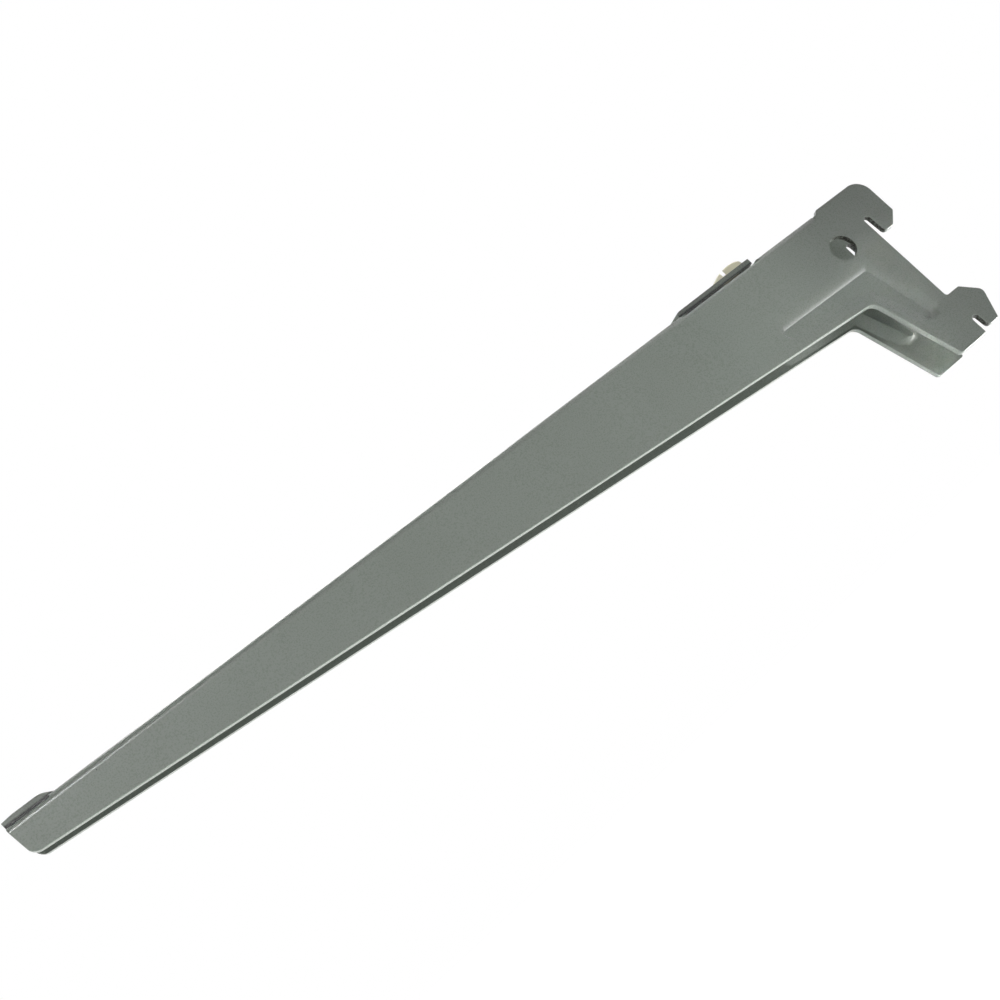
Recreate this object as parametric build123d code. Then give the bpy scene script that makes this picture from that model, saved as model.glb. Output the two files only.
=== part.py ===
from build123d import *
import math
import os

# A shelf bracket folded from one sheet of steel: a channel that is open below, narrows towards
# its tip and hangs by two pairs of hooks in the slots of a wall rail.
# Frame: X runs from the face of the rail to the tip, Y across, Z up. The origin is where the
# rail face, the plane that the shelf lies on and the middle of the bracket's width meet.
# All sizes are in millimetres.

# The sheet and the outside of the channel
sheet = 2.0             # thickness of the steel
length = 326.5          # from the rail face to the tip, along the top
rear_width = 18.0       # over both walls, at the rail face
tip_width = 9.2         # over both walls, at the tip
bend_radius = 2.8       # outside of the two long bends
edge_round = 0.4        # the cut edges, rounded by tumbling and paint

# The side outline
foot_drop = 7.0         # from the lower notch's crown down to the foot
foot_depth = 13.1       # the foot's length along X
leg_angle = 17.0        # how far the leg's front edge leans out, in degrees
corner_height = 37.5    # from the shelf plane down to the inner corner
tip_height = 11.0       # the arm's height at the tip
tip_angle = 12.5        # lean of the front edge, in degrees
corner_round = 4.0      # inner corner between arm and leg
tip_round = 3.0         # lower corner of the tip
foot_front_round = 1.5
foot_rear_round = 0.8

# The hooks
hook_pitch = 50.0       # from one slot of the rail to the next
hook_reach = 12.0       # behind the rail face
upper_crown = 12.2      # from the shelf plane down to the top of the upper notch
notch_width = 2.5       # between rail face and hook
notch_lead = 0.5        # how much wider the notch is at its mouth
notch_round = 1.24      # just under half of the notch's width
upper_drop = 8.2        # from the upper notch's crown down to the hook's end
lower_drop = 5.8
upper_shoulder = 16.1   # where the upper hook's back starts to slant in
upper_nose = 4.2        # width of the upper hook's end
lower_nose = 5.0
head_rise = 0.65        # the head stands this much above the shelf plane
head_round = 6.0
lower_lead_height = 11.0  # from the lower crown up to the top of the lower hook
lower_slant = 6.2       # where the lower hook's top starts to slant, behind the rail face
lower_shoulder = 5.0    # from the lower crown up to the lower hook's widest place
lower_belly = 0.6       # how much further back the lower hook reaches there

# The gap where the web stops and the flat heads begin
head_front = 10.6       # front end of the heads
head_slant = 1.6        # length of the short slope at that end
web_start = 13.2        # rear end of the web
relief_depth = 0.7

# The hole through both walls
hole_diameter = 9.9
hole_x = 14.7
hole_drop = 16.0

# The pressed corner: a flat floor, and slopes that run out into the wall
press_depth = 1.5
press_steps = [1.0, 0.72, 0.45, 0.2, 0.0]   # shares of the slopes' widths, from rim to floor
press_arm_band = 5.8    # from the floor down to the arm's cut edge
press_leg_band = 5.4    # from the floor to the leg's cut edge, at the inner corner
press_leg_angle = 22.5  # lean of the floor's front side along the leg, in degrees
press_front = 55.0      # front end of the floor
press_front_height = 3.2
press_top_x = 13.8      # the floor's rear upper corner
press_top_drop = 26.8
press_foot_x = 8.6      # the floor's lower end
press_foot_drop = 52.6
press_corner = 2.6      # how much of each lower side the floor's inner corner cuts off
press_tip_cut = 1.0     # how much the floor's front end is cut off at its corners
press_foot_cut = 0.6    # the same at its lower end
press_top_cut = 1.0     # and at its rear upper corner
top_slope_width = 4.5
rear_slope_width = 5.0
end_slope_width = 2.2
tip_slope_width = 3.0   # at the cut corners of its ends
crown_slope_width = 4.9  # at the cut upper corner
edge_land = 0.7         # flat strip left along the cut edge

# The raised tongue that carries the button
tongue_root = 82.0
tongue_end = 41.5
tongue_width = 10.0
tongue_ramp = 5.8       # length of the ramp up from the web
tongue_corner = 1.2
tongue_lift = 0.45      # its free end stands this much higher than its front part
tongue_gap = 0.5        # clear of the window's rear end

# The raised stop at the tip
stop_length = 14.5      # from its root to the tip
stop_width = 3.9
stop_rise = 1.9
stop_ramp = 3.4
stop_flat = 8.0         # length of its level part
stop_dip = 0.4          # how much its free end bends down again

rim_angle = 55.0        # where the windows' long edges lie on the bends, from the top, in degrees
strip_root = 4.0        # length of each raised strip that runs into the web's own level
strip_bend = 4.0        # radius of the strips' bends, at mid thickness
tongue_bend = 3.0
window_top = 4.0        # the windows are cut from this height down
window_lead = 1.4       # the stop's window starts this far ahead of the stop's root

# The plastic button
button_x = 49.2
button_length = 13.6
button_width = 9.2
button_height = 3.2
button_crown = 13.5     # radius of its domed top
button_round = 0.9
groove_width = 1.2
groove_depth = 2.8
groove_turn = 37.0      # how far the groove is turned from straight across, in degrees
groove_shift = 0.6      # towards the tip
shank_diameter = 6.0
shank_clearance = 0.1
shank_point = 2.4       # radius of the barb's lower end
barb_diameter = 7.0
barb_length = 2.4
barb_clearance = 0.2    # below the tongue
split_width = 1.2

across = 40.0           # longer than the bracket is wide, for cuts that go right through
lower_crown = upper_crown + hook_pitch
leg_height = lower_crown + foot_drop    # from the shelf plane down to the foot
stop_root = length - stop_length
tongue_run = tongue_root - tongue_ramp - tongue_end
tongue_lean = math.degrees(math.atan2(tongue_lift, tongue_run))
taper = (rear_width - tip_width) / 2 / length


def half_width(x):
    """Outside of one wall, from the middle plane."""
    return rear_width / 2 - taper * x


def leg_front(z):
    """X of the leg's front edge at a height."""
    return foot_depth + (z + leg_height) * math.tan(math.radians(leg_angle))


def tip_front(z):
    """X of the tip's front edge at a height."""
    return length + z * math.tan(math.radians(tip_angle))


def side_plane_face(points, radii):
    """A closed outline with rounded corners, upright in the middle plane."""
    return Plane.XZ * make_face(FilletPolyline(*points, radius=radii, close=True))


def side_outline():
    """The outline that both walls share, as points with the rounding of each corner."""
    upper_end = -upper_crown - upper_drop
    lower_end = -lower_crown - lower_drop
    hook_front = -notch_width - notch_lead
    corners = [
        ((tip_front(head_rise), head_rise), 0),
        ((web_start, head_rise), 0),
        ((web_start, -relief_depth), 0),
        ((head_front + head_slant, -relief_depth), 0.5),
        ((head_front, head_rise), 0.6),
        ((-hook_reach, head_rise), head_round),
        ((-hook_reach, -upper_shoulder), 1.0),
        ((hook_front - upper_nose, upper_end), 1.5),
        ((hook_front, upper_end), 1.6),
        ((-notch_width, -upper_crown), notch_round),
        ((0, -upper_crown), notch_round),
        ((0, -lower_crown + lower_lead_height), 1.2),
        ((-lower_slant, -lower_crown + lower_lead_height), 1.5),
        ((-hook_reach - lower_belly, -lower_crown + lower_shoulder), 2.5),
        ((hook_front - lower_nose, lower_end), 0.8),
        ((hook_front, lower_end), 1.6),
        ((-notch_width, -lower_crown), notch_round),
        ((0, -lower_crown), notch_round),
        ((0, -leg_height), foot_rear_round),
        ((foot_depth, -leg_height), foot_front_round),
        ((leg_front(-corner_height), -corner_height), corner_round),
        ((tip_front(-tip_height), -tip_height), tip_round),
    ]
    return side_plane_face([c[0] for c in corners], [c[1] for c in corners])


def plan_prism(x0, x1, inset, z0, z1):
    """The space between the walls' planes, moved in by inset, from x0 to x1."""
    plan = Polyline(
        (x0, half_width(x0) - inset),
        (x1, half_width(x1) - inset),
        (x1, inset - half_width(x1)),
        (x0, inset - half_width(x0)),
        close=True,
    )
    return Pos(0, 0, z0) * extrude(make_face(plan), z1 - z0)


def long_top_edges(prism):
    """The two upper edges that run along the arm."""
    return prism.edges().group_by(Axis.Z)[-1].sort_by(SortBy.LENGTH)[-2:]


def folded_blank():
    """The channel and the flat heads behind it, before anything is cut or pressed."""
    low = -leg_height - 1
    outside = plan_prism(web_start, length + 2, 0, low, 0)
    outside = fillet(long_top_edges(outside), bend_radius)
    inside = plan_prism(web_start - 1, length + 3, sheet, low - 1, -sheet)
    inside = fillet(long_top_edges(inside), bend_radius - sheet)
    channel = outside - inside
    rear = -hook_reach - 2
    plates = plan_prism(rear, web_start, 0, low, head_rise)
    plates -= plan_prism(rear - 1, web_start + 1, sheet, low - 1, head_rise + 1)
    return channel + plates


def meeting_point(p, d, q, e):
    """Where the line through p along d meets the line through q along e."""
    cross = d.X * e.Y - d.Y * e.X
    return p + d * (((q.X - p.X) * e.Y - (q.Y - p.Y) * e.X) / cross)


def offset_polygon(corners, offsets):
    """A polygon whose sides are moved outwards, each by its own amount."""
    count = len(corners)
    starts = []
    directions = []
    for i in range(count):
        along = (corners[(i + 1) % count] - corners[i]).normalized()
        starts.append(corners[i] + Vector(along.Y, -along.X) * offsets[i])
        directions.append(along)
    return [
        meeting_point(starts[i - 1], directions[i - 1], starts[i], directions[i])
        for i in range(count)
    ]


def cut_corner(before, corner, after, amount):
    """Two points in place of a corner, each that far from it along its side."""
    back = (before - corner).normalized()
    ahead = (after - corner).normalized()
    return [corner + back * amount, corner + ahead * amount]


def pressed_floor():
    """The corners of the pressing's flat floor, as X and Z, and the angle of its inner corner."""
    inner = Vector(leg_front(-corner_height), -corner_height)
    arm_angle = math.atan2(corner_height - tip_height, tip_front(-tip_height) - inner.X)
    along_arm = Vector(math.cos(arm_angle), math.sin(arm_angle))
    lean = math.radians(press_leg_angle)
    down_leg = Vector(-math.sin(lean), -math.cos(lean))
    edge_lean = math.radians(leg_angle)
    arm_side = inner + Vector(-along_arm.Y, along_arm.X) * press_arm_band
    leg_side = inner - Vector(math.cos(edge_lean), -math.sin(edge_lean)) * press_leg_band
    middle = meeting_point(arm_side, along_arm, leg_side, down_leg)
    front_low = middle + along_arm * ((press_front - middle.X) / along_arm.X)
    front_top = front_low + Vector(0, press_front_height)
    rear_top = Vector(press_top_x, -press_top_drop)
    foot_rear = Vector(press_foot_x, -press_foot_drop)
    foot_front = middle + down_leg * ((middle.Y + press_foot_drop) / -down_leg.Y)
    corners = [
        middle + along_arm * press_corner,
        *cut_corner(middle, front_low, front_top, press_tip_cut),
        *cut_corner(front_low, front_top, rear_top, press_tip_cut),
        *cut_corner(front_top, rear_top, foot_rear, press_top_cut),
        *cut_corner(rear_top, foot_rear, foot_front, press_foot_cut),
        *cut_corner(foot_rear, foot_front, middle, press_foot_cut),
        middle + down_leg * press_corner,
    ]
    return corners, math.pi / 2 + lean + arm_angle


def pressed_form():
    """The pressing as a solid that goes inwards from the left wall, and that wall's plane."""
    corners, corner_angle = pressed_floor()
    arm_band = press_arm_band - edge_land
    leg_band = press_leg_band - edge_land
    # The slope at the inner corner narrows its side to a tenth by the time it runs out.
    half_corner = corner_angle / 2
    narrowed = 0.9 * press_corner * math.cos(half_corner)
    corner_slope = (arm_band + leg_band) / 2 / math.sin(half_corner) - narrowed
    curved = [
        0,
        tip_slope_width,
        end_slope_width,
        tip_slope_width,
        top_slope_width,
        crown_slope_width,
        rear_slope_width,
        tip_slope_width,
        end_slope_width,
        tip_slope_width,
        0,
        0,
    ]
    # Below the floor the slopes are straight: they flare out to the cut edges.
    straight = [arm_band, 0, 0, 0, 0, 0, 0, 0, 0, 0, leg_band, corner_slope]
    wall = Plane(origin=(0, rear_width / 2, 0), x_dir=(1, -taper, 0), z_dir=(-taper, -1, 0))
    sections = []
    for share in press_steps:
        depth_share = (1 - share) ** 2
        widths = [c * share + f * (1 - depth_share) for c, f in zip(curved, straight)]
        rim = make_face(Polyline(*offset_polygon(corners, widths), close=True))
        if share == 1:
            # The solid starts on the far side of the wall's face, so that it cuts or joins cleanly.
            sections.append(wall.offset(-sheet / 2) * rim)
        sections.append(wall.offset(press_depth * depth_share) * rim)
    return loft(sections, ruled=True), wall


def bend_window(x0, x1):
    """A window in the web whose long edges lie part of the way down the bends."""
    sections = []
    for x in (x0, x1):
        centre = half_width(x) - bend_radius
        reach = centre + (window_top + bend_radius) * math.tan(math.radians(rim_angle))
        outline = Polyline(
            (-centre, -bend_radius),
            (centre, -bend_radius),
            (reach, window_top),
            (-reach, window_top),
            close=True,
        )
        sections.append(Plane.YZ.offset(x) * make_face(outline))
    return loft(sections, ruled=True)


def raised_strip(points, radii, width):
    """A strip of the sheet that follows a bent path, seen from the side."""
    path = FilletPolyline(*points, radius=radii)
    return extrude(Plane.XZ * trace(path, sheet), width / 2, both=True)


def on_tongue():
    """The place on top of the tongue where the button sits."""
    rise = tongue_lift * (tongue_root - tongue_ramp - button_x) / tongue_run
    half_sheet = sheet / 2 / math.cos(math.radians(tongue_lean))
    return Pos(button_x, 0, sheet / 2 + rise + half_sheet) * Rot(0, tongue_lean, 0)


def tongue():
    """The tongue: it leaves the web at its front end and rises a little to its free end."""
    mid = -sheet / 2
    strip = raised_strip(
        [
            (tongue_root + strip_root, mid),
            (tongue_root, mid),
            (tongue_root - tongue_ramp, mid + sheet),
            (tongue_end, mid + sheet + tongue_lift),
        ],
        [tongue_bend, tongue_bend],
        tongue_width,
    )
    upright = strip.edges().filter_by(lambda e: abs(e.length - sheet) < 0.01)
    ends = upright.sort_by(Axis.X)[:2]
    strip = fillet(ends, tongue_corner)
    return strip - on_tongue() * Cylinder(shank_diameter / 2 + shank_clearance, 4 * sheet)


def stop():
    """The stop: its free end looks forward and bends down a little."""
    mid = -sheet / 2
    return raised_strip(
        [
            (stop_root - strip_root, mid),
            (stop_root, mid),
            (stop_root + stop_ramp, mid + stop_rise),
            (stop_root + stop_ramp + stop_flat, mid + stop_rise),
            (length, mid + stop_rise - stop_dip),
        ],
        [strip_bend, strip_bend, strip_bend],
        stop_width,
    )


def is_cut_edge(edge):
    """Whether an edge of the blank is an outer edge of a wall's side outline, off the bends."""
    middle = edge.center()
    outside = half_width(middle.X)
    on_wall = abs(abs(middle.Y) - outside) < 0.01
    crosses = edge.bounding_box().size.Y > sheet / 2
    below_bends = middle.Z < -bend_radius - 0.01
    return on_wall and not crosses and (below_bends or middle.X < head_front)


def bracket():
    """The folded sheet, all in one piece."""
    form, wall = pressed_form()
    bulge = Pos(*(wall.z_dir * sheet)) * form
    body = folded_blank() & extrude(side_outline(), across / 2, both=True)
    body = fillet(body.edges().filter_by(is_cut_edge), edge_round)
    body += [bulge, mirror(bulge, Plane.XZ)]
    body -= [form, mirror(form, Plane.XZ)]
    drill = Rot(90, 0, 0) * Cylinder(hole_diameter / 2, across)
    body -= Pos(hole_x, 0, -hole_drop) * drill
    body -= bend_window(tongue_end - tongue_gap, tongue_root - strip_root)
    body -= bend_window(stop_root + window_lead, length + 3)
    return body + tongue() + stop()


def button():
    """The plastic button: a long domed cap with a groove across it, on a split shank."""
    plan = SlotOverall(button_length, button_width)
    cap = extrude(plan, button_height)
    crown = Pos(0, 0, button_height - button_crown) * Sphere(button_crown)
    cap = cap & crown
    rim = cap.edges().filter_by(lambda e: e.center().Z > button_round / 2)
    cap = fillet(rim, button_round)
    turned = Pos(groove_shift, 0, button_height) * Rot(0, 0, -groove_turn)
    cap -= turned * Box(groove_width, across, 2 * groove_depth)
    barb_top = -sheet - barb_clearance
    shank = Pos(0, 0, barb_top / 2) * Cylinder(shank_diameter / 2, -barb_top)
    barb = Pos(0, 0, barb_top - barb_length / 2) * Rot(180, 0, 0) * Cone(
        barb_diameter / 2, shank_point, barb_length
    )
    split = Pos(0, 0, barb_top - barb_length) * Box(split_width, across, 2 * (barb_length + sheet))
    whole = cap + shank + barb - split
    return on_tongue() * whole


os.makedirs("parts", exist_ok=True)
pieces = {
    "bracket_body": bracket(),
    "shelf_button": button(),
}
for name, piece in pieces.items():
    export_step(piece, "parts/" + name + ".step")
    print(name, len(piece.solids()), "solid", round(piece.volume), "mm3")
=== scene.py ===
# %% [markdown]
# A slotted shelf bracket
#
# This lesson dresses a CAD model of a shelf bracket: one sheet of steel, folded to a channel that
# narrows towards its tip, with hooks at the rear for a slotted wall rail and a plastic button
# that holds the shelf. The CAD gives the true form of both pieces. Blender gives them what CAD
# leaves out: smooth light over the pressed corner, the grain of a powder coat, the look of
# moulded plastic, and a studio to stand in.
#
# All lengths are in metres. X runs from the rail to the tip, Y across, Z up.

# %% Load the CAD model
import math

import bmesh
import bpy
from mathutils import Matrix, Vector


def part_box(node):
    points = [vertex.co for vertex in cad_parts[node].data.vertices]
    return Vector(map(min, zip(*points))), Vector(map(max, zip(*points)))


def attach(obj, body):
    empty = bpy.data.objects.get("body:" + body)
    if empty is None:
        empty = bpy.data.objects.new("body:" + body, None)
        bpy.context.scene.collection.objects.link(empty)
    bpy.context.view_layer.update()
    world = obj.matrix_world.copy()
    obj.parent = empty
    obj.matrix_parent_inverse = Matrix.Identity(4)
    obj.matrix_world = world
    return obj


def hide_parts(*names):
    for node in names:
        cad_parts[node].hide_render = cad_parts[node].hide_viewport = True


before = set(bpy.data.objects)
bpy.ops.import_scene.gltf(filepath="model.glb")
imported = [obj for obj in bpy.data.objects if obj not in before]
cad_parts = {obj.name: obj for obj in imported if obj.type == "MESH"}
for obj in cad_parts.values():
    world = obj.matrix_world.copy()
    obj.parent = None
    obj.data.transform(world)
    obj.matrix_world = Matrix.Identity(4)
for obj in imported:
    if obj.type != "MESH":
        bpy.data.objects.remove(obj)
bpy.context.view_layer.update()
MM = 0.001


# %% [markdown]
# Colours
#
# A colour picked from a picture is written for the screen. Shaders work with linear light, so
# each colour is converted once, here, and is then named for the finish it belongs to.

# %% Colours of the finishes
def linear(red, green, blue):
    """A colour given as 0 to 255 on the screen, in linear light with full alpha."""
    def channel(value):
        value = value / 255
        return value / 12.92 if value <= 0.04045 else ((value + 0.055) / 1.055) ** 2.4
    return (channel(red), channel(green), channel(blue), 1.0)


COAT_COLOUR = linear(118, 125, 117)
COAT_LIGHT = linear(131, 138, 131)
COAT_SPECK = linear(52, 54, 50)
# A thin coat on the punched edges, with painted shade in the notches and the hole
COAT_THIN_AND_SHADED = linear(44, 42, 36)
# Painted shade for the gaps under the tongue and the stop
COAT_GAP_SHADE = linear(22, 23, 22)
CREAM_COLOUR = linear(228, 225, 203)
CREAM_SHADE = linear(210, 204, 176)
CREAM_BROWN = linear(128, 112, 84)
print("coat colour in linear light:", [round(v, 3) for v in COAT_COLOUR[:3]])


# %% [markdown]
# Small helpers for node trees
#
# A node tree is easier to read when each node is made on one line, with its values beside it.
# `add` makes a node and sets its inputs by name or number; `join` runs a wire.

# %% Node helpers
def add(tree, kind, inputs=None, **settings):
    """A new node of that kind, with its settings and the values of its inputs."""
    node = tree.nodes.new(kind)
    for name, value in settings.items():
        setattr(node, name, value)
    for key, value in (inputs or {}).items():
        node.inputs[key].default_value = value
    return node


def join(tree, output, socket):
    """A wire from an output to an input."""
    tree.links.new(output, socket)


def new_group(name, inputs, outputs):
    """A shader node group with named sockets, and its own input and output nodes."""
    tree = bpy.data.node_groups.new(name, "ShaderNodeTree")
    for label, kind, value in inputs:
        socket = tree.interface.new_socket(label, in_out="INPUT", socket_type=kind)
        if value is not None:
            socket.default_value = value
    for label, kind in outputs:
        tree.interface.new_socket(label, in_out="OUTPUT", socket_type=kind)
    return tree, tree.nodes.new("NodeGroupInput"), tree.nodes.new("NodeGroupOutput")


def new_material(name):
    """An empty material with a Principled BSDF, and its tree and shader."""
    material = bpy.data.materials.new(name)
    material.use_nodes = True
    tree = material.node_tree
    return material, tree, tree.nodes["Principled BSDF"]


# %% [markdown]
# Grain
#
# Powder coat is sprayed on as dry powder and melted in an oven. It flows, but not quite flat:
# what stays is a skin of very low bumps, each a fraction of a millimetre across. Moulded plastic
# has a finer skin of the same sort, left by the mould. Real bumps would take millions of faces.
# A Bump node shades them instead, so one group serves both finishes with its own size and height.

# %% The grain group
def grain_group():
    """Bumps of two sizes. It gives a normal, and the height for use in a roughness."""
    tree, given, result = new_group(
        "fine_grain",
        [
            ("Vector", "NodeSocketVector", None),
            ("Size", "NodeSocketFloat", 0.0005),
            ("Height", "NodeSocketFloat", 0.00001),
        ],
        [("Normal", "NodeSocketVector"), ("Level", "NodeSocketFloat")],
    )
    per_metre = add(tree, "ShaderNodeMath", {0: 1.0}, operation="DIVIDE")
    coarse = add(tree, "ShaderNodeTexNoise", {"Detail": 2.0, "Roughness": 0.55})
    finer = add(tree, "ShaderNodeMath", {1: 3.7}, operation="MULTIPLY")
    fine = add(tree, "ShaderNodeTexNoise", {"Detail": 1.0, "Roughness": 0.5})
    both = add(tree, "ShaderNodeMix", {"Factor": 0.35}, data_type="FLOAT")
    bump = add(tree, "ShaderNodeBump", {"Strength": 1.0})
    join(tree, given.outputs["Size"], per_metre.inputs[1])
    join(tree, given.outputs["Vector"], coarse.inputs["Vector"])
    join(tree, given.outputs["Vector"], fine.inputs["Vector"])
    join(tree, per_metre.outputs[0], coarse.inputs["Scale"])
    join(tree, per_metre.outputs[0], finer.inputs[0])
    join(tree, finer.outputs[0], fine.inputs["Scale"])
    join(tree, coarse.outputs["Fac"], both.inputs["A"])
    join(tree, fine.outputs["Fac"], both.inputs["B"])
    join(tree, both.outputs["Result"], bump.inputs["Height"])
    join(tree, given.outputs["Height"], bump.inputs["Distance"])
    join(tree, bump.outputs["Normal"], result.inputs["Normal"])
    join(tree, both.outputs["Result"], result.inputs["Level"])
    return tree


GRAIN = grain_group()
print("grain group with", len(GRAIN.nodes), "nodes")


# %% [markdown]
# Specks
#
# A few dark grains sit in the coat: dust that was baked in. A Voronoi texture scatters one
# random point to each cell. Close to such a point the mask is 1. Most cells are left out by
# asking their random colour for a high value, so that the specks stay few and uneven.

# %% The speck group
def speck_group():
    """A mask of few small round spots."""
    tree, given, result = new_group(
        "baked_specks",
        [
            ("Vector", "NodeSocketVector", None),
            ("Spacing", "NodeSocketFloat", 0.004),
            ("Radius", "NodeSocketFloat", 0.05),
            ("Share", "NodeSocketFloat", 0.1),
        ],
        [("Mask", "NodeSocketFloat")],
    )
    per_metre = add(tree, "ShaderNodeMath", {0: 1.0}, operation="DIVIDE")
    cells = add(tree, "ShaderNodeTexVoronoi", {"Randomness": 1.0})
    near = add(tree, "ShaderNodeMath", operation="LESS_THAN")
    split = add(tree, "ShaderNodeSeparateColor")
    chosen = add(tree, "ShaderNodeMath", operation="LESS_THAN")
    both = add(tree, "ShaderNodeMath", operation="MULTIPLY")
    join(tree, given.outputs["Spacing"], per_metre.inputs[1])
    join(tree, given.outputs["Vector"], cells.inputs["Vector"])
    join(tree, per_metre.outputs[0], cells.inputs["Scale"])
    join(tree, cells.outputs["Distance"], near.inputs[0])
    join(tree, given.outputs["Radius"], near.inputs[1])
    join(tree, cells.outputs["Color"], split.inputs["Color"])
    join(tree, split.outputs["Red"], chosen.inputs[0])
    join(tree, given.outputs["Share"], chosen.inputs[1])
    join(tree, near.outputs[0], both.inputs[0])
    join(tree, chosen.outputs[0], both.inputs[1])
    join(tree, both.outputs[0], result.inputs["Mask"])
    return tree


SPECKS = speck_group()
print("speck group with", len(SPECKS.nodes), "nodes")


# %% [markdown]
# Punched edges
#
# The edges of the hole and of the hooks' notches were punched, and the coat stays thin there.
# They also lie in shade, inside the hole and in the narrow notches. So they show dark, broken
# patches, partly a thin coat and partly painted shade. A mask finds them: a face that turns away
# from the walls' flat sides, near the hole's axis or in a notch. Noise breaks the mask up.
# Painting the patches by hand would need a flat map of the sheet, and this mask follows the
# shape by itself.

# %% The punched edge group
HOLE_PLACE = Vector((14.7, 0.0, -16.0)) * MM
HOLE_REACH = 5.2 * MM
NOTCH_PLACE = -2.2 * MM
NOTCH_REACH = 1.5 * MM
EDGE_TURN = 0.55
PATCHES_PER_METRE = 1400.0


def punched_group():
    """A mask of broken patches on the inner edges of the hole and the notches."""
    tree, given, result = new_group(
        "punched_edges",
        [("Vector", "NodeSocketVector", None), ("Normal", "NodeSocketVector", None)],
        [("Mask", "NodeSocketFloat")],
    )
    turned = add(tree, "ShaderNodeSeparateXYZ")
    sideways = add(tree, "ShaderNodeMath", operation="ABSOLUTE")
    is_edge = add(tree, "ShaderNodeMath", {1: EDGE_TURN}, operation="LESS_THAN")
    flat = add(tree, "ShaderNodeVectorMath", {1: (1.0, 0.0, 1.0)}, operation="MULTIPLY")
    from_axis = add(tree, "ShaderNodeVectorMath", {1: HOLE_PLACE}, operation="DISTANCE")
    at_hole = add(tree, "ShaderNodeMath", {1: HOLE_REACH}, operation="LESS_THAN")
    where = add(tree, "ShaderNodeSeparateXYZ")
    behind = add(tree, "ShaderNodeMath", {1: NOTCH_PLACE, 2: NOTCH_REACH}, operation="COMPARE")
    either = add(tree, "ShaderNodeMath", operation="MAXIMUM")
    noise = add(
        tree, "ShaderNodeTexNoise",
        {"Scale": PATCHES_PER_METRE, "Detail": 2.0, "Roughness": 0.6},
    )
    broken = add(
        tree, "ShaderNodeMapRange",
        {"From Min": 0.40, "From Max": 0.52, "To Min": 0.35, "To Max": 1.0},
    )
    on_edge = add(tree, "ShaderNodeMath", operation="MULTIPLY")
    patches = add(tree, "ShaderNodeMath", operation="MULTIPLY")
    join(tree, given.outputs["Normal"], turned.inputs[0])
    join(tree, turned.outputs["Y"], sideways.inputs[0])
    join(tree, sideways.outputs[0], is_edge.inputs[0])
    join(tree, given.outputs["Vector"], flat.inputs[0])
    join(tree, flat.outputs[0], from_axis.inputs[0])
    join(tree, from_axis.outputs["Value"], at_hole.inputs[0])
    join(tree, given.outputs["Vector"], where.inputs[0])
    join(tree, where.outputs["X"], behind.inputs[0])
    join(tree, at_hole.outputs[0], either.inputs[0])
    join(tree, behind.outputs[0], either.inputs[1])
    join(tree, given.outputs["Vector"], noise.inputs["Vector"])
    join(tree, noise.outputs["Fac"], broken.inputs["Value"])
    join(tree, either.outputs[0], on_edge.inputs[0])
    join(tree, is_edge.outputs[0], on_edge.inputs[1])
    join(tree, on_edge.outputs[0], patches.inputs[0])
    join(tree, broken.outputs["Result"], patches.inputs[1])
    join(tree, patches.outputs[0], result.inputs["Mask"])
    return tree


PUNCHED = punched_group()
print("punched edge group with", len(PUNCHED.nodes), "nodes")


# %% [markdown]
# Painted shade along the tongue and the stop
#
# The gaps under the raised tongue and under the stop lie in deep shade, more than the model's
# narrow gaps give, so that shade is painted into the coat's colour there and on their sides,
# darkest along the lower edge. The mask is a slope over height, kept to a stretch of the arm and
# to the faces that don't look up. One group serves both places, and each has its own values: the
# middle and half the length of the stretch, the height where the painted shade starts, the height
# where it begins to fade, and how much of it stays on the side.

# %% The painted gap shade group
SHADE_FADE = 0.5 * MM
LOOKS_UP = 0.5
TONGUE_GAP = {
    "Middle": 59.0 * MM, "Half Length": 18.5 * MM,
    "Foot": 0.02 * MM, "Edge": 0.55 * MM, "Side": 0.25,
}
STOP_GAP = {
    "Middle": 320.0 * MM, "Half Length": 7.5 * MM,
    "Foot": -0.7 * MM, "Edge": 0.25 * MM, "Side": 0.0,
}


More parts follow.
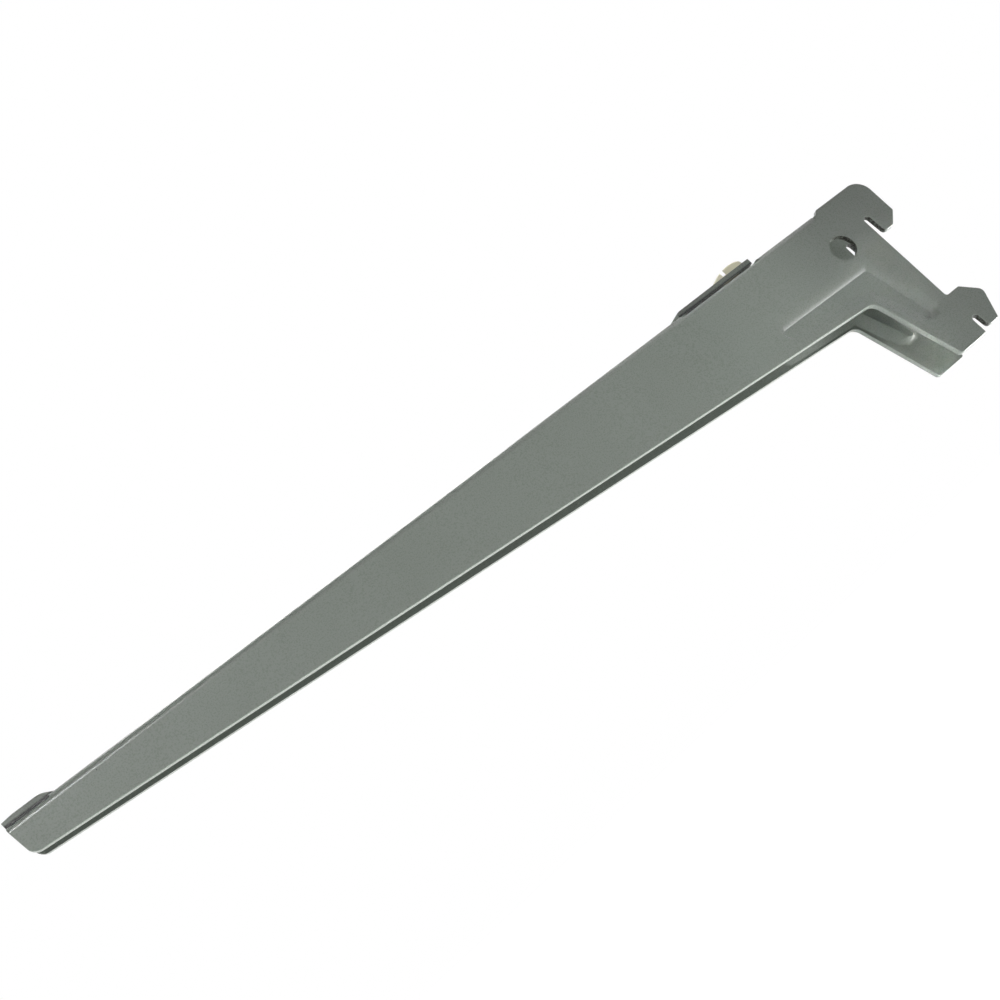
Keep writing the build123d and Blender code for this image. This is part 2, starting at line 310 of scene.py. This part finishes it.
def gap_shade_group():
    """A mask of painted shade on the sides and the underside of a raised strip."""
    tree, given, result = new_group(
        "painted_gap_shade",
        [
            ("Vector", "NodeSocketVector", None),
            ("Normal", "NodeSocketVector", None),
            ("Middle", "NodeSocketFloat", 0.059),
            ("Half Length", "NodeSocketFloat", 0.0185),
            ("Foot", "NodeSocketFloat", 0.0),
            ("Edge", "NodeSocketFloat", 0.0005),
            ("Side", "NodeSocketFloat", 0.25),
        ],
        [("Mask", "NodeSocketFloat")],
    )
    where = add(tree, "ShaderNodeSeparateXYZ")
    turned = add(tree, "ShaderNodeSeparateXYZ")
    along = add(tree, "ShaderNodeMath", operation="COMPARE")
    raised = add(tree, "ShaderNodeMath", operation="GREATER_THAN")
    not_top = add(tree, "ShaderNodeMath", {1: LOOKS_UP}, operation="LESS_THAN")
    edge_end = add(tree, "ShaderNodeMath", {1: SHADE_FADE}, operation="ADD")
    fade = add(tree, "ShaderNodeMapRange", {"To Min": 0.95})
    both = add(tree, "ShaderNodeMath", operation="MULTIPLY")
    sides = add(tree, "ShaderNodeMath", operation="MULTIPLY")
    painted_shade = add(tree, "ShaderNodeMath", operation="MULTIPLY")
    join(tree, given.outputs["Vector"], where.inputs[0])
    join(tree, given.outputs["Normal"], turned.inputs[0])
    join(tree, where.outputs["X"], along.inputs[0])
    join(tree, given.outputs["Middle"], along.inputs[1])
    join(tree, given.outputs["Half Length"], along.inputs[2])
    join(tree, where.outputs["Z"], raised.inputs[0])
    join(tree, given.outputs["Foot"], raised.inputs[1])
    join(tree, where.outputs["Z"], fade.inputs["Value"])
    join(tree, given.outputs["Edge"], edge_end.inputs[0])
    join(tree, given.outputs["Edge"], fade.inputs["From Min"])
    join(tree, edge_end.outputs[0], fade.inputs["From Max"])
    join(tree, given.outputs["Side"], fade.inputs["To Max"])
    join(tree, turned.outputs["Z"], not_top.inputs[0])
    join(tree, along.outputs[0], both.inputs[0])
    join(tree, raised.outputs[0], both.inputs[1])
    join(tree, both.outputs[0], sides.inputs[0])
    join(tree, not_top.outputs[0], sides.inputs[1])
    join(tree, sides.outputs[0], painted_shade.inputs[0])
    join(tree, fade.outputs["Result"], painted_shade.inputs[1])
    join(tree, painted_shade.outputs[0], result.inputs["Mask"])
    return tree


GAP_SHADE = gap_shade_group()
print("gap dirt group with", len(GAP_SHADE.nodes), "nodes")


# %% [markdown]
# The powder coat
#
# The coat is a satin grey with a green cast. One flat colour would look like a drawing, so a
# large soft noise and the grain move it a little between two near tones, as the coat's
# thickness does. The roughness follows the grain, and the grain gives the normal. The dark
# punched edges, a thin coat with painted shade, and the painted shade in the gaps come last,
# over the coat's own colour.

# %% The coat material
COAT_GRAIN = {"Size": 0.45 * MM, "Height": 0.022 * MM}
COAT_SPECKS = {"Spacing": 5.0 * MM, "Radius": 0.035, "Share": 0.16}
COAT_ROUGHNESS = (0.22, 0.36)


def coat_material():
    """The grey powder coat, with its specks, dark punched edges and painted gap shade."""
    material, tree, shader = new_material("powder_coat")
    place = add(tree, "ShaderNodeTexCoord")
    grain = add(tree, "ShaderNodeGroup", COAT_GRAIN, node_tree=GRAIN)
    clouds = add(tree, "ShaderNodeTexNoise", {"Scale": 45.0, "Detail": 3.0, "Roughness": 0.5})
    grainy = add(tree, "ShaderNodeMix", {"Factor": 0.5})
    tone = add(tree, "ShaderNodeMix", {"A": COAT_COLOUR, "B": COAT_LIGHT}, data_type="RGBA")
    specks = add(tree, "ShaderNodeGroup", COAT_SPECKS, node_tree=SPECKS)
    speckled = add(tree, "ShaderNodeMix", {"B": COAT_SPECK}, data_type="RGBA")
    shape = add(tree, "ShaderNodeNewGeometry")
    punched = add(tree, "ShaderNodeGroup", node_tree=PUNCHED)
    # The punched edges darken: a thin coat, and painted shade in the notches and the hole
    thin_and_shaded = add(tree, "ShaderNodeMix", {"B": COAT_THIN_AND_SHADED}, data_type="RGBA")
    # Painted shade in the gaps under the tongue and the stop
    under_tongue = add(tree, "ShaderNodeGroup", TONGUE_GAP, node_tree=GAP_SHADE)
    under_stop = add(tree, "ShaderNodeGroup", STOP_GAP, node_tree=GAP_SHADE)
    painted_shade = add(tree, "ShaderNodeMath", operation="MAXIMUM")
    shaded = add(tree, "ShaderNodeMix", {"B": COAT_GAP_SHADE}, data_type="RGBA")
    smooth, rough = COAT_ROUGHNESS
    sheen = add(
        tree, "ShaderNodeMapRange",
        {"From Min": 0.3, "From Max": 0.7, "To Min": smooth, "To Max": rough},
    )
    for node in (grain, specks, clouds, punched, under_tongue, under_stop):
        join(tree, place.outputs["Object"], node.inputs["Vector"])
    for node in (punched, under_tongue, under_stop):
        join(tree, shape.outputs["True Normal"], node.inputs["Normal"])
    join(tree, under_tongue.outputs["Mask"], painted_shade.inputs[0])
    join(tree, under_stop.outputs["Mask"], painted_shade.inputs[1])
    join(tree, clouds.outputs["Fac"], grainy.inputs["A"])
    join(tree, grain.outputs["Level"], grainy.inputs["B"])
    join(tree, grainy.outputs["Result"], tone.inputs["Factor"])
    join(tree, tone.outputs["Result"], speckled.inputs["A"])
    join(tree, specks.outputs["Mask"], speckled.inputs["Factor"])
    join(tree, speckled.outputs["Result"], thin_and_shaded.inputs["A"])
    join(tree, punched.outputs["Mask"], thin_and_shaded.inputs["Factor"])
    join(tree, thin_and_shaded.outputs["Result"], shaded.inputs["A"])
    join(tree, painted_shade.outputs[0], shaded.inputs["Factor"])
    join(tree, shaded.outputs["Result"], shader.inputs["Base Color"])
    join(tree, grain.outputs["Level"], sheen.inputs["Value"])
    join(tree, sheen.outputs["Result"], shader.inputs["Roughness"])
    join(tree, grain.outputs["Normal"], shader.inputs["Normal"])
    return material


COAT = coat_material()
print("material", COAT.name)


# %% [markdown]
# The button's plastic
#
# The button is moulded in a cream plastic with a soft sheen. The end next to the wall rail is
# browner, in patches.

# %% The button material
BUTTON_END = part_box("shelf_button")[0].x
BROWN_START = BUTTON_END + 3.2 * MM
BROWN_FULL = BUTTON_END + 0.4 * MM
CREAM_GRAIN = {"Size": 0.35 * MM, "Height": 0.008 * MM}
CREAM_ROUGHNESS = 0.42


def button_material():
    """The cream plastic, with a browner rear end."""
    material, tree, shader = new_material("cream_plastic")
    place = add(tree, "ShaderNodeTexCoord")
    grain = add(tree, "ShaderNodeGroup", CREAM_GRAIN, node_tree=GRAIN)
    clouds = add(tree, "ShaderNodeTexNoise", {"Scale": 260.0, "Detail": 3.0, "Roughness": 0.6})
    tone = add(tree, "ShaderNodeMix", {"A": CREAM_COLOUR, "B": CREAM_SHADE}, data_type="RGBA")
    where = add(tree, "ShaderNodeSeparateXYZ")
    rear_end = add(
        tree, "ShaderNodeMapRange",
        {"From Min": BROWN_START, "From Max": BROWN_FULL, "To Min": 0.0, "To Max": 0.75},
    )
    patchy = add(tree, "ShaderNodeMath", operation="MULTIPLY")
    browned = add(tree, "ShaderNodeMix", {"B": CREAM_BROWN}, data_type="RGBA")
    for node in (grain, clouds, where):
        join(tree, place.outputs["Object"], node.inputs["Vector"])
    join(tree, clouds.outputs["Fac"], tone.inputs["Factor"])
    join(tree, where.outputs["X"], rear_end.inputs["Value"])
    join(tree, rear_end.outputs["Result"], patchy.inputs[0])
    join(tree, clouds.outputs["Fac"], patchy.inputs[1])
    join(tree, tone.outputs["Result"], browned.inputs["A"])
    join(tree, patchy.outputs[0], browned.inputs["Factor"])
    join(tree, browned.outputs["Result"], shader.inputs["Base Color"])
    join(tree, grain.outputs["Normal"], shader.inputs["Normal"])
    shader.inputs["Roughness"].default_value = CREAM_ROUGHNESS
    return material


CREAM = button_material()
print("material", CREAM.name)


# %% [markdown]
# Smooth shading
#
# A CAD mesh comes as loose triangles, each with its own corners, and every facet shows. The
# faces of a copy are merged where their corners meet, so that light can run smoothly over the
# bends and the pressed slopes. Which edges stay crisp is a matter of angle: the round edges turn
# by up to thirty degrees from one facet to the next and have to look smooth, while the lines
# round the pressed floor turn by less and have to look crisp. So an edge in the pressed corner
# that parts a slope from a flat face gets a smaller limit than the rest.

# %% Merge and smooth both pieces
ROUND_LIMIT = math.radians(40)
CREASE_LIMIT = math.radians(12.5)
MERGE_DISTANCE = 0.002 * MM
PRESSED_LOW = Vector((6.0, -99.0, -55.0)) * MM
PRESSED_HIGH = Vector((58.5, 99.0, -23.0)) * MM
NEARLY_UPRIGHT = 0.8
UPRIGHT = 0.9995


def rims_a_flat(edge):
    """Whether an edge in the pressed corner parts a slope from a flat face."""
    middle = (edge.verts[0].co + edge.verts[1].co) / 2
    boxed = all(PRESSED_LOW[i] < middle[i] < PRESSED_HIGH[i] for i in range(3))
    turns = [abs(face.normal.y) for face in edge.link_faces]
    return boxed and min(turns) > NEARLY_UPRIGHT and max(turns) > UPRIGHT


def mark_crisp(work, pressed):
    """Marks the edges that stay crisp, and makes every face smooth."""
    crisp = 0
    for edge in work.edges:
        limit = CREASE_LIMIT if pressed and rims_a_flat(edge) else ROUND_LIMIT
        edge.smooth = edge.calc_face_angle(math.pi) < limit
        crisp += not edge.smooth
    for face in work.faces:
        face.smooth = True
    return crisp


def smooth_copy(node_name, piece_name, material, pressed):
    """A merged copy of a CAD node with smooth normals, which stands for the node."""
    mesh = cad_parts[node_name].data.copy()
    mesh.name = piece_name
    work = bmesh.new()
    work.from_mesh(mesh)
    bmesh.ops.remove_doubles(work, verts=work.verts, dist=MERGE_DISTANCE)
    work.normal_update()
    crisp = mark_crisp(work, pressed)
    work.to_mesh(mesh)
    work.free()
    mesh.materials.clear()
    mesh.materials.append(material)
    piece = bpy.data.objects.new(piece_name, mesh)
    bpy.context.scene.collection.objects.link(piece)
    weighted = piece.modifiers.new("weighted_normals", "WEIGHTED_NORMAL")
    weighted.keep_sharp = True
    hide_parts(node_name)
    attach(piece, "root")
    print(piece_name, len(mesh.vertices), "vertices,", len(mesh.polygons), "faces")
    print(piece_name, crisp, "crisp edges")
    return piece


bracket = smooth_copy("bracket_body", "folded_bracket", COAT, pressed=True)
button = smooth_copy("shelf_button", "cream_button", CREAM, pressed=False)


# %% [markdown]
# Floor and surroundings
#
# The bracket hangs in the air by its hooks, so the floor lies some way below it. The world is a
# pale room. Seen by the camera, or in the gloss of the coat, the room is plain white. The floor
# stays a real floor that can hold a shadow, and is a little brighter to the camera than to the
# bracket, so that it meets the white of the room without a line.

# %% Floor and world
FLOOR_LEVEL = -0.42
FLOOR_REACH = 6.0
ROOM_LIGHT = 0.02
FLOOR_COLOUR = (0.8, 0.8, 0.8, 1.0)
FLOOR_GLOW = 0.97
WHITE = (1.0, 1.0, 1.0, 1.0)


def seen_directly(tree):
    """1 for what the camera sees, directly or in gloss, and 0 for light on its way."""
    path = add(tree, "ShaderNodeLightPath")
    seen = add(tree, "ShaderNodeMath", operation="MAXIMUM")
    join(tree, path.outputs["Is Camera Ray"], seen.inputs[0])
    join(tree, path.outputs["Is Glossy Ray"], seen.inputs[1])
    return seen.outputs[0]


def make_floor():
    """A wide pale floor that is nearly white to the camera."""
    mesh = bpy.data.meshes.new("floor")
    corners = [(-1, -1), (1, -1), (1, 1), (-1, 1)]
    points = [(x * FLOOR_REACH, y * FLOOR_REACH, FLOOR_LEVEL) for x, y in corners]
    mesh.from_pydata(points, [], [(0, 1, 2, 3)])
    floor = bpy.data.objects.new("floor", mesh)
    bpy.context.scene.collection.objects.link(floor)
    material, tree, shader = new_material("pale_floor")
    shader.inputs["Base Color"].default_value = FLOOR_COLOUR
    shader.inputs["Roughness"].default_value = 0.9
    shader.inputs["Emission Color"].default_value = WHITE
    glow = add(tree, "ShaderNodeMath", {1: FLOOR_GLOW}, operation="MULTIPLY")
    join(tree, seen_directly(tree), glow.inputs[0])
    join(tree, glow.outputs[0], shader.inputs["Emission Strength"])
    mesh.materials.append(material)


def make_world():
    """A pale room that the camera sees as plain white."""
    world = bpy.data.worlds.new("pale_room")
    bpy.context.scene.world = world
    world.use_nodes = True
    tree = world.node_tree
    tree.nodes.clear()
    output = add(tree, "ShaderNodeOutputWorld")
    room = add(tree, "ShaderNodeBackground", {"Color": WHITE, "Strength": ROOM_LIGHT})
    white = add(tree, "ShaderNodeBackground", {"Color": WHITE, "Strength": 1.0})
    choice = add(tree, "ShaderNodeMixShader")
    join(tree, seen_directly(tree), choice.inputs[0])
    join(tree, room.outputs[0], choice.inputs[1])
    join(tree, white.outputs[0], choice.inputs[2])
    join(tree, choice.outputs[0], output.inputs["Surface"])


make_floor()
make_world()


# %% [markdown]
# Lamps
#
# Soft lamps give the form, each for one thing. A long strip with a grid before it lights the arm
# from the camera's side, and the grid lets the tone fall off towards the hooks. The slope and
# crease lamps stand low behind the hooks and draw the soft light along the pressed corner. The
# side, leg, foot and button lamps are weak or narrow and lift one small place each. The rail, tip
# and table lamps shine up onto the cut edges and into the channel, and the top and back lamps
# light the top and the far wall.

# %% Lamps
def softbox(name, place, target, size, power, spread=180):
    """An area lamp, wide and high, that points at a target, with its spread in degrees."""
    lamp = bpy.data.lights.new(name, "AREA")
    lamp.shape = "RECTANGLE"
    lamp.size, lamp.size_y = size
    lamp.energy = power
    lamp.spread = math.radians(spread)
    holder = bpy.data.objects.new(name, lamp)
    bpy.context.scene.collection.objects.link(holder)
    direction = Vector(target) - Vector(place)
    turn = direction.to_track_quat("-Z", "Y").to_matrix().to_4x4()
    holder.matrix_world = Matrix.Translation(place) @ turn
    holder.visible_camera = False


softbox("strip_lamp", (0.300, 0.37, 0.23), (0.195, 0.0, -0.02), (0.34, 0.10), 0.059, spread=11.5)
softbox("slope_lamp", (-0.27, 0.22, -0.40), (0.03, 0.0, -0.03), (0.10, 0.10), 0.88)
softbox("crease_lamp", (-0.30, 0.22, -0.35), (0.03, 0.0, -0.03), (0.10, 0.10), 0.58)
softbox("side_lamp", (0.38, 0.93, -0.07), (0.02, 0.0, -0.03), (0.10, 0.10), 0.15)
softbox("leg_lamp", (0.38, 0.93, -0.07), (0.009, 0.0, -0.031), (0.03, 0.03), 0.0010, spread=3)
softbox("foot_lamp", (0.35, 0.45, -0.35), (0.012, -0.007, -0.064), (0.02, 0.02), 0.0013, spread=3)
softbox("button_lamp", (0.06, 0.16, 0.42), (0.050, 0.0, 0.003), (0.03, 0.03), 0.0012, spread=5)
softbox("rail_lamp", (-0.30, -0.10, -0.36), (0.05, 0.0, -0.03), (0.14, 0.14), 3.2)
softbox("tip_lamp", (0.70, 0.05, -0.36), (0.10, 0.0, -0.02), (0.20, 0.20), 3.0)
softbox("table_lamp", (0.20, 0.0, -0.38), (0.20, 0.0, -0.02), (0.20, 0.20), 0.95)
softbox("top_lamp", (-0.50, 0.30, 0.80), (0.15, 0.0, -0.02), (0.40, 0.40), 1.0)
softbox("back_lamp", (0.10, -0.55, 0.60), (0.15, 0.0, 0.0), (0.50, 0.50), 3.0)


# %% [markdown]
# Camera
#
# The camera looks at the bracket's left side, a little from below. Its place, turn and lens were
# worked out from corners of the bracket whose distances are known, such as the hooks' pitch.

# %% Camera
CAMERA_PLACE = Vector((270.6, 302.1, -85.7)) * MM
CAMERA_RIGHT = Vector((-0.75100, 0.10001, -0.65269))
CAMERA_DOWN = Vector((0.57703, -0.38114, -0.72234))
CAMERA_AHEAD = Vector((-0.32101, -0.91909, 0.22853))
CAMERA_LENS = 38.7

camera_data = bpy.data.cameras.new("camera")
camera_data.lens = CAMERA_LENS
camera_data.sensor_width = 36.0
camera_data.clip_start = 0.01
camera = bpy.data.objects.new("camera", camera_data)
bpy.context.scene.collection.objects.link(camera)
turn = Matrix((CAMERA_RIGHT, -CAMERA_DOWN, -CAMERA_AHEAD)).transposed().to_4x4()
camera.matrix_world = Matrix.Translation(CAMERA_PLACE) @ turn
bpy.context.scene.camera = camera
print("lens", camera_data.lens)


# %% [markdown]
# Colour management
#
# The Standard view shows a colour as it is written.

# %% Finish
bpy.context.scene.view_settings.view_transform = "Standard"
